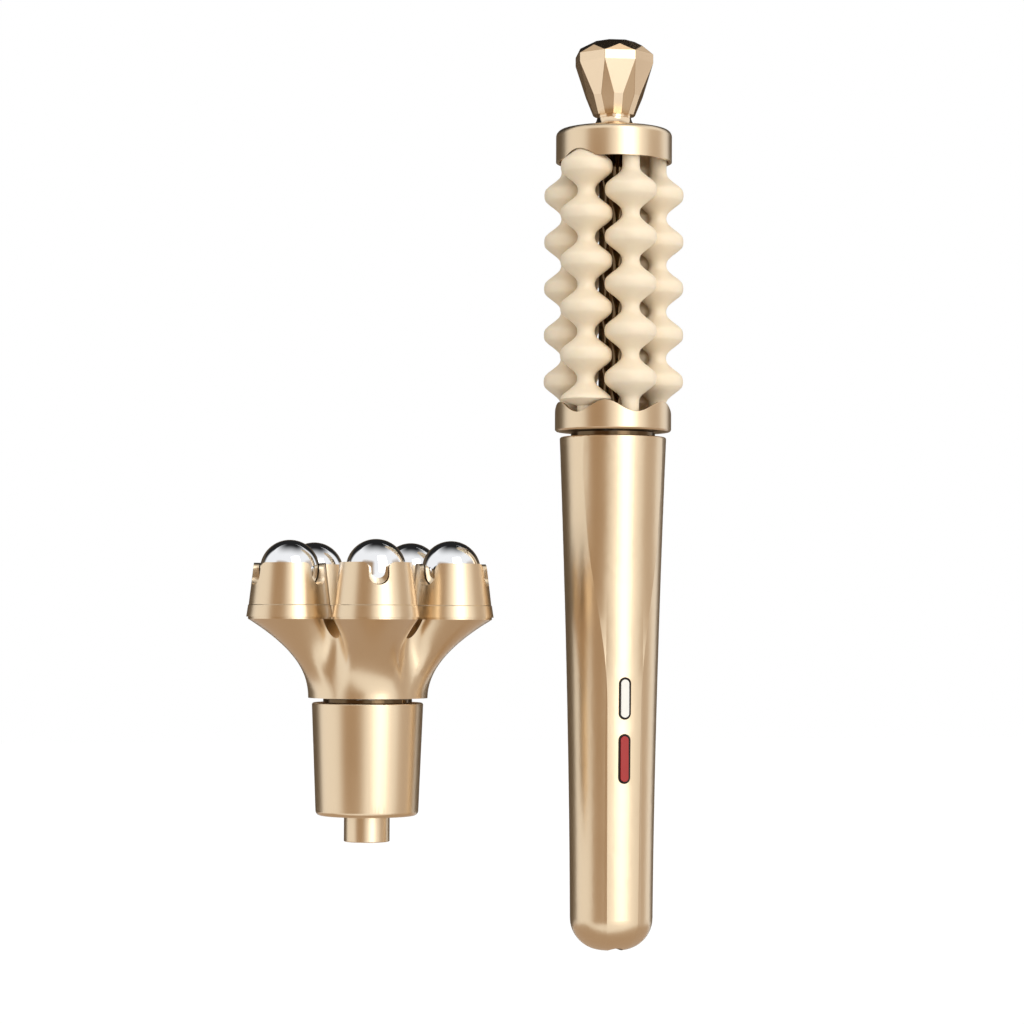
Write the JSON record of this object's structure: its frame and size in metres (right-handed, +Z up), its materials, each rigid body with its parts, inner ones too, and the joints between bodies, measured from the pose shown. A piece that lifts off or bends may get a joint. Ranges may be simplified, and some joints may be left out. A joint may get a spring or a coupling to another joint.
{
  "type": "face massager",
  "caption": "Hand-held face massager: flared wand with push buttons, a turning head of wavy rollers under a faceted knob, and a loose second head of polished balls in claw cups.",
  "frame": {"origin": "lowest point of the handle's tail, at the charging port on the wand's axis", "axes": "+Z up along the wand's axis, from tail to knob; the button panel faces -Y; the loose ball head stands at -X"},
  "size_m": [0.1069, 0.0576, 0.22],
  "materials": {
    "satin_gold": "satin champagne gold",
    "polished_gold": "polished champagne gold",
    "cream_silicone": "smooth matt silicone",
    "polished_ball": "mirror polish",
    "pale_button": "gloss",
    "red_button": "gloss",
    "steel": "machined",
    "dark_plastic": "moulded",
    "board_green": "solder mask",
    "cell_wrap": "shrink wrap over a steel can",
    "bush_bronze": "sintered bronze"
  },
  "bodies": {
    "handle": {"handle_shell": "satin_gold", "head_socket": "dark_plastic", "motor_plate": "steel", "gearbox": "dark_plastic", "motor": "steel", "motor_screws": "steel", "chassis": "dark_plastic", "battery_cell": "cell_wrap", "main_board": "board_green", "power_switch": "dark_plastic", "mode_switch": "dark_plastic", "board_screws": "steel", "charging_board": "board_green", "charging_port": "steel", "port_tongue": "dark_plastic", "button_bezels": "dark_plastic"},
    "power_button": {"power_button": "pale_button"},
    "mode_button": {"mode_button": "red_button"},
    "drive_shaft": {"drive_shaft": "steel"},
    "roller_plug": {"roller_plug": "polished_gold", "roller_bush": "bush_bronze"},
    "cage": {"roller_spindle": "steel", "roller_clip": "steel", "lower_ring": "satin_gold", "core_tube": "polished_gold", "tie_rod": "steel", "upper_ring": "satin_gold", "roller_axles": "steel", "axle_washers": "steel", "knob_neck": "polished_gold", "faceted_knob": "polished_gold"},
    "ball_base": {"ball_sleeve": "satin_gold", "ball_plug": "polished_gold", "ball_neck": "polished_gold", "ball_bushes": "bush_bronze"},
    "crown": {"crown": "satin_gold", "crown_shaft": "steel", "crown_screw": "steel", "ball_clip": "steel", "cup_1": "satin_gold", "cup_2": "satin_gold", "cup_3": "satin_gold", "cup_4": "satin_gold", "cup_5": "satin_gold", "ball_seats": "dark_plastic", "cup_screws": "steel"},
    "roller_1": {"roller_1": "cream_silicone"},
    "roller_2": {"roller_2": "cream_silicone"},
    "roller_3": {"roller_3": "cream_silicone"},
    "roller_4": {"roller_4": "cream_silicone"},
    "roller_5": {"roller_5": "cream_silicone"},
    "roller_6": {"roller_6": "cream_silicone"},
    "ball_1": {"ball_1": "polished_ball"},
    "ball_2": {"ball_2": "polished_ball"},
    "ball_3": {"ball_3": "polished_ball"},
    "ball_4": {"ball_4": "polished_ball"},
    "ball_5": {"ball_5": "polished_ball"}
  },
  "joints": [
    {"name": "power_press", "type": "slide", "parent": "handle", "child": "power_button", "axis": [0, 1, 0], "range_m": [0, 0.0005], "stiffness_N_per_m": 600},
    {"name": "mode_press", "type": "slide", "parent": "handle", "child": "mode_button", "axis": [0, 1, 0], "range_m": [0, 0.0005], "stiffness_N_per_m": 600},
    {"name": "roller_head_lift", "type": "slide", "parent": "handle", "child": "roller_plug", "axis": [0, 0, 1], "range_m": [0, 0.035]},
    {"name": "cage_spin", "type": "hinge", "parent": "roller_plug", "child": "cage", "pos_m": [0, 0, 0.125], "axis": [0, 0, 1], "continuous": true},
    {"name": "drive_shaft_spin", "type": "hinge", "parent": "handle", "child": "drive_shaft", "pos_m": [0, 0, 0.11], "axis": [0, 0, 1], "continuous": true},
    {"name": "roller_1_spin", "type": "hinge", "parent": "cage", "child": "roller_1", "pos_m": [-0.00879, -0.0062, 0.1605], "axis": [0, 0, 1], "continuous": true},
    {"name": "roller_2_spin", "type": "hinge", "parent": "cage", "child": "roller_2", "pos_m": [0.00097, -0.01072, 0.1605], "axis": [0, 0, 1], "continuous": true},
    {"name": "roller_3_spin", "type": "hinge", "parent": "cage", "child": "roller_3", "pos_m": [0.01049, -0.00238, 0.1605], "axis": [0, 0, 1], "continuous": true},
    {"name": "roller_4_spin", "type": "hinge", "parent": "cage", "child": "roller_4", "pos_m": [0.00879, 0.0062, 0.1605], "axis": [0, 0, 1], "continuous": true},
    {"name": "roller_5_spin", "type": "hinge", "parent": "cage", "child": "roller_5", "pos_m": [-0.00318, 0.01028, 0.1605], "axis": [0, 0, 1], "continuous": true},
    {"name": "roller_6_spin", "type": "hinge", "parent": "cage", "child": "roller_6", "pos_m": [-0.00977, 0.00451, 0.1605], "axis": [0, 0, 1], "continuous": true},
    {"name": "ball_head_lift", "type": "slide", "parent": "handle", "child": "ball_base", "axis": [0, 0, 1], "range_m": [0, 0.06]},
    {"name": "crown_spin", "type": "hinge", "parent": "ball_base", "child": "crown", "pos_m": [-0.0605, 0, 0.06], "axis": [0, 0, 1], "continuous": true},
    {"name": "ball_1_roll", "type": "hinge", "parent": "crown", "child": "ball_1", "pos_m": [-0.06317, -0.01977, 0.0908], "axis": [0.991, -0.134, 0], "continuous": true},
    {"name": "ball_2_roll", "type": "hinge", "parent": "crown", "child": "ball_2", "pos_m": [-0.04252, -0.00865, 0.0908], "axis": [0.4337, 0.9011, 0], "continuous": true},
    {"name": "ball_3_roll", "type": "hinge", "parent": "crown", "child": "ball_3", "pos_m": [-0.04672, 0.01442, 0.0908], "axis": [-0.723, 0.6909, 0], "continuous": true},
    {"name": "ball_4_roll", "type": "hinge", "parent": "crown", "child": "ball_4", "pos_m": [-0.06996, 0.01757, 0.0908], "axis": [-0.8805, -0.4741, 0], "continuous": true},
    {"name": "ball_5_roll", "type": "hinge", "parent": "crown", "child": "ball_5", "pos_m": [-0.08013, -0.00357, 0.0908], "axis": [0.1788, -0.9839, 0], "continuous": true}
  ],
  "couplings": [
    {"joint": "drive_shaft_spin", "follows": "cage_spin", "ratio": 1}
  ]
}
